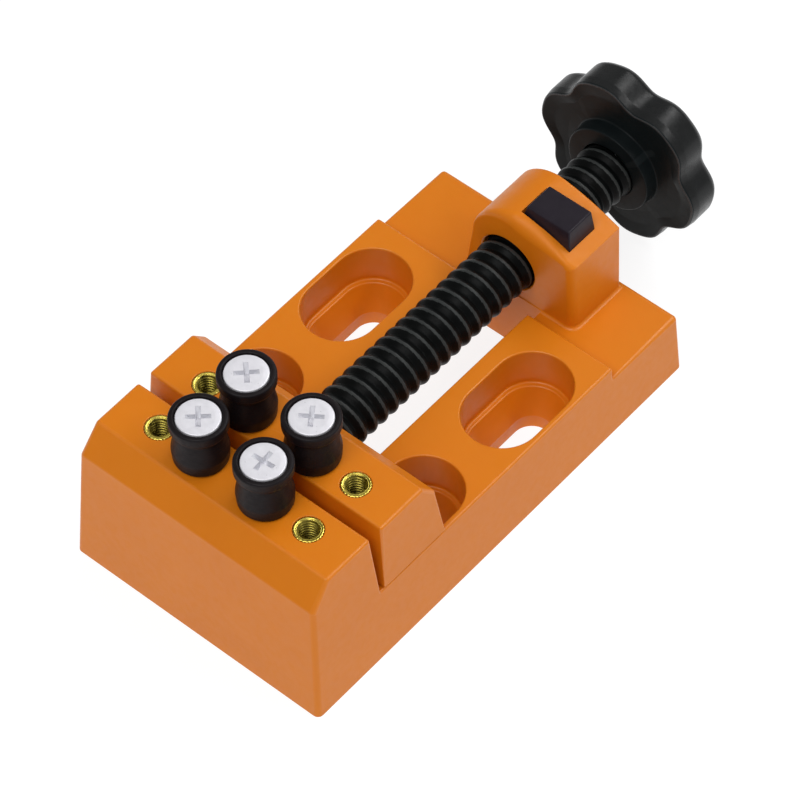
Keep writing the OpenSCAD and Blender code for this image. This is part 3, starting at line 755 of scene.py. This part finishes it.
def cross_recess(centre, top, turn):
    """The tapered cross that a driver fits, as a cutter."""
    reach, half = 2.3, 0.48
    rings = []
    # Height over the head's top, and how large the cross is there.
    for z, grow in ((0.4, 1.12), (0.0, 1.0), (-0.5, 0.84), (-1.5, 0.34)):
        long, wide = reach * grow, half * (0.55 + 0.45 * grow)
        arm = np.array([(long, -wide), (long, wide), (wide, wide)])
        ring = np.vstack([arm @ spun(turn + 90 * quarter) for quarter in range(4)])
        rings.append(np.column_stack([ring + centre, np.full(12, top + z)]))
    return solid(rings)


def spun(degrees):
    """The matrix that turns row vectors by an angle."""
    cosine, sine = math.cos(math.radians(degrees)), math.sin(math.radians(degrees))
    return np.array([[cosine, sine], [-sine, cosine]])


def build_sleeve(node, body):
    """A moulded rubber spool: a bead round the screw head, a waist and a barrel."""
    low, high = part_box(node)
    centre = ((low.x + high.x) / 2, (low.y + high.y) / 2, low.z)
    tall, wide = high.z - low.z, (high.x - low.x) / 2
    bore, pocket, seat = 2.1 * MM, 4.22 * MM, 8.65 * MM
    profile = fillet([
        (bore, 8.0 * MM, 0), (bore, 0, 0.2 * MM), (wide - 0.35 * MM, 0, 1.0 * MM),
        (wide - 0.15 * MM, 3.0 * MM, 2.5 * MM), (wide - 0.95 * MM, 7.6 * MM, 1.6 * MM),
        (wide - 0.85 * MM, 8.6 * MM, 0.35 * MM), (wide, 8.95 * MM, 0.75 * MM),
        (wide, tall - 0.1 * MM, 1.15 * MM), (4.45 * MM, tall, 0.35 * MM),
        (pocket, tall - 0.7 * MM, 0.2 * MM), (pocket, seat, 0), (bore, seat, 0)], steps=8)
    grid = turned(profile, centre, "Z", columns=96)
    mesh = from_grid(node + "_rubber", grid, close_rows=True)
    add_object(node + "_rubber", mesh, RUBBER, body, node)


def build_peg_screw(node, body, turn):
    """A flat cheese head with a soft edge and a stamped cross, on its plain shank."""
    low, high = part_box(node)
    centre = ((low.x + high.x) / 2, (low.y + high.y) / 2, 0)
    head = (high.x - low.x) / 2
    shank, collar, underside = 1.6 * MM, 1.95 * MM, high.z - 2.5 * MM
    cross_low, cross_high, cross_wide = high.z - 1.45 * MM, high.z - 0.03 * MM, 2.6 * MM
    profile = fillet([
        (0.05 * MM, low.z, 0), (0.9 * MM, low.z, 0), (shank, low.z + 0.8 * MM, 0.1 * MM),
        (shank, (JAW_TOP + 0.1) * MM, 0), (collar, (JAW_TOP + 0.4) * MM, 0),
        (collar, underside, 0), (head - 0.05 * MM, underside, 0.2 * MM),
        (head, high.z - 0.12 * MM, 0.3 * MM), (head - 1.1 * MM, high.z - 0.01 * MM, 0.5 * MM),
        (0.05 * MM, high.z, 0)])
    grid = turned(profile, centre, "Z", columns=72)
    mesh = from_grid(node, grid)
    bm = bmesh.new()
    bm.from_mesh(mesh)
    bmesh.ops.holes_fill(bm, edges=bm.edges)
    bmesh.ops.recalc_face_normals(bm, faces=bm.faces)
    bm.to_mesh(mesh)
    bm.free()
    x, y, _ = place_of(centre)
    mesh = combined(mesh, [cross_recess((x, y), high.z / MM, turn)], "DIFFERENCE")
    piece = add_object(node + "_plated", mesh, NICKEL, body, node)
    mesh.set_sharp_from_angle(angle=SHARP_HEAD_EDGE)
    # Painted shade: the faces in the cross recess take the darker plating.
    one_more_material(piece, NICKEL_RECESS_SHADE, lambda x, y, z: (
        cross_low < z < cross_high and math.hypot(x - centre[0], y - centre[1]) < cross_wide))


def build_insert(node, body):
    """A brass bush with a knurled rim and a real thread in its bore."""
    low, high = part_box(node)
    centre = np.array([(low.x + high.x) / 2, (low.y + high.y) / 2, 0])
    outer, minor, groove = (high.x - low.x) / 2, 1.65 * MM, 0.30 * MM
    teeth, tooth_deep, columns = 26, 0.14 * MM, 104
    thread_top, thread_end, steps = high.z - 0.35 * MM, high.z - 6.35 * MM, 90
    angle = np.linspace(0, 2 * math.pi, columns, endpoint=False)
    knurl = tooth_deep * (1 - np.cos(teeth * angle)) / 2
    plain = 0 * angle
    rings = [
        (plain + minor, low.z),
        (outer - 0.3 * MM - knurl, low.z),
        (outer - knurl, low.z + 0.4 * MM),
        (outer - knurl, high.z - 0.16 * MM),
        (outer - 0.05 * MM - knurl, high.z - 0.05 * MM),
        (outer - 0.22 * MM - 0.7 * knurl, high.z),
        (plain + outer - 0.50 * MM, high.z - 0.02 * MM),
        (plain + outer - 0.56 * MM, high.z - 0.09 * MM),
        (plain + outer - 0.64 * MM, high.z - 0.03 * MM),
        (plain + minor + groove + 0.14 * MM, high.z - 0.06 * MM)]
    for z in np.linspace(thread_top, thread_end, steps):
        rings.append((minor + groove * (1 + np.cos(2 * math.pi * z / PEG_PITCH - angle)) / 2, z))
    rings.append((plain + minor, thread_end - 0.2 * MM))
    grid = np.array([np.stack([radius * np.cos(angle), radius * np.sin(angle), plain + z], axis=1)
                     for radius, z in rings]) + centre
    mesh = from_grid(node + "_brass", grid, close_rows=True)
    piece = add_object(node + "_brass", mesh, BRASS, body, node)
    # Painted shade: the faces inside the bore take the darker brass.
    one_more_material(piece, SHADED_BORE_BRASS, lambda x, y, z: (
        math.hypot(x - centre[0], y - centre[1]) < minor + groove + 0.07 * MM))


BUTTON_EDGE = 0.28 * MM
BUTTON_Z = 31.5 * MM              # the half nut's edges above this belong to its button


def nut_edge(edge):
    """Only the button's own edges show."""
    middle = (edge.verts[0].co.z + edge.verts[1].co.z) / 2
    return BUTTON_EDGE if middle > BUTTON_Z else 0.0


def build_button():
    """The half nut with soft edges on its button. Its hidden teeth are as shallow as the thread shown."""
    piece = softened("button_moulding", "release_nut", nut_edge, BUTTON_EDGE, BUTTON_BLACK, "half_nut")
    clear = CREST_R + TOOTH_GAP
    for vertex in piece.data.vertices:
        drop = SCREW_AXIS - vertex.co.z
        reach = math.hypot(vertex.co.x, drop)
        if drop > 0 and reach < clear:
            reach = clear - (clear - reach) * THREAD_DEPTH / CAD_THREAD_DEPTH
            vertex.co.z = SCREW_AXIS - math.sqrt(reach ** 2 - vertex.co.x ** 2)


def build_spring():
    """A copy of the CAD's spring, with a mesh of its own."""
    coil = frame["nodes"]["release_spring"].data.copy()
    piece = add_object("release_spring_coil", coil, ZINC, "base", "release_spring")
    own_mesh(piece)


build_lead_screw()
build_knob()
build_spring()
build_button()
for jaw_name, jaw_body, turns in (("fixed", "base", (42, 5)), ("jaw", "sliding_jaw", (45, 35))):
    for side, turn in zip(("left", "right"), turns):
        build_sleeve(f"{jaw_name}_{side}_sleeve", f"{jaw_name}_{side}_peg")
        build_peg_screw(f"{jaw_name}_{side}_screw", f"{jaw_name}_{side}_clamp", turn)
    for number in (1, 4):
        build_insert(f"{jaw_name}_insert_{number}", jaw_body)


# ---------------------------------------------------------------- CAD nodes that stay

for material, nodes in (
    (HIDDEN_BLACK, ("jaw_keeper", "screw_retainer", "nut_cover")),
    (ZINC, ("keeper_screws", "nut_cover_screws", "knob_screw")),
    (BRASS, ("fixed_insert_2", "fixed_insert_3", "jaw_insert_2", "jaw_insert_3")),
):
    for node in nodes:
        finish = frame["nodes"][node].data.materials
        finish.clear()
        finish.append(material)


# ---------------------------------------------------------------- floor, light and camera

LIT_POINT = Vector((0, 0, 0.02))
FLOOR_REACH, FLOOR_DROP, FLOOR_GLOW = 6.0, 0.02 * MM, 0.86
SKY = 0.32
# The photograph's camera: degrees, then millimetres, then shares of the frame, then metres.
AZIMUTH, ELEVATION, ROLL = 41.789, 52.136, -1.654
LENS, SENSOR = 204.45, 36
SHIFT = (0.01703, -0.00792)
EYE = (0.335715, -0.386029, 0.665206)


def add_light(name, place, size, power):
    """A white area light that looks at the middle of the holder."""
    lamp = bpy.data.lights.new(name, "AREA")
    lamp.shape = "RECTANGLE"
    lamp.size, lamp.size_y = size
    lamp.energy = power
    piece = bpy.data.objects.new(name, lamp)
    bpy.context.scene.collection.objects.link(piece)
    piece.location = place
    piece.rotation_euler = (LIT_POINT - Vector(place)).to_track_quat("-Z", "Y").to_euler()


def add_floor():
    """A white floor that glows a little, as a lightbox does, so that shadows stay faint."""
    mesh = bpy.data.meshes.new("floor")
    reach = FLOOR_REACH
    mesh.from_pydata([(-reach, -reach, 0), (reach, -reach, 0), (reach, reach, 0), (-reach, reach, 0)],
                     [], [(0, 1, 2, 3)])
    m = Material("pale_floor", Roughness=0.9, Specular_IOR_Level=0.1, Emission_Color=(1, 1, 1, 1),
                 Emission_Strength=FLOOR_GLOW)
    m.colour(m.blend(m.noise(0.2, 2), (0.20, 0.206, 0.212), (0.215, 0.221, 0.227)))
    mesh.materials.append(m.material)
    floor = bpy.data.objects.new("floor", mesh)
    floor.location.z = -FLOOR_DROP
    bpy.context.scene.collection.objects.link(floor)


def add_world():
    """An even white surround."""
    world = bpy.data.worlds.new("studio")
    world.use_nodes = True
    background = world.node_tree.nodes["Background"].inputs
    background["Color"].default_value = (1.0, 1.0, 1.0, 1.0)
    background["Strength"].default_value = SKY
    bpy.context.scene.world = world


def add_camera():
    """The camera as it was solved from the photograph."""
    azimuth, elevation, roll = (math.radians(a) for a in (AZIMUTH, ELEVATION, ROLL))
    back = Vector((math.sin(azimuth) * math.cos(elevation), -math.cos(azimuth) * math.cos(elevation),
                   math.sin(elevation)))
    right = Vector((math.cos(azimuth), math.sin(azimuth), 0))
    up = back.cross(right)
    right, up = (right * math.cos(roll) + up * math.sin(roll), up * math.cos(roll) - right * math.sin(roll))
    lens = bpy.data.cameras.new("camera")
    lens.sensor_width, lens.lens = SENSOR, LENS
    lens.shift_x, lens.shift_y = SHIFT
    lens.clip_start, lens.clip_end = 0.05, 50
    camera = bpy.data.objects.new("camera", lens)
    camera.matrix_world = Matrix((
        (right.x, up.x, back.x, EYE[0]), (right.y, up.y, back.y, EYE[1]),
        (right.z, up.z, back.z, EYE[2]), (0, 0, 0, 1)))
    bpy.context.scene.collection.objects.link(camera)
    bpy.context.scene.camera = camera


add_floor()
add_world()
add_light("key", (0.25, 0.48, 0.78), (1.2, 0.16), 4.9)
add_light("fill", (0.1, -0.5, 0.92), (0.6, 0.6), 5.0)
add_camera()
bpy.context.scene.view_settings.view_transform = "Standard"
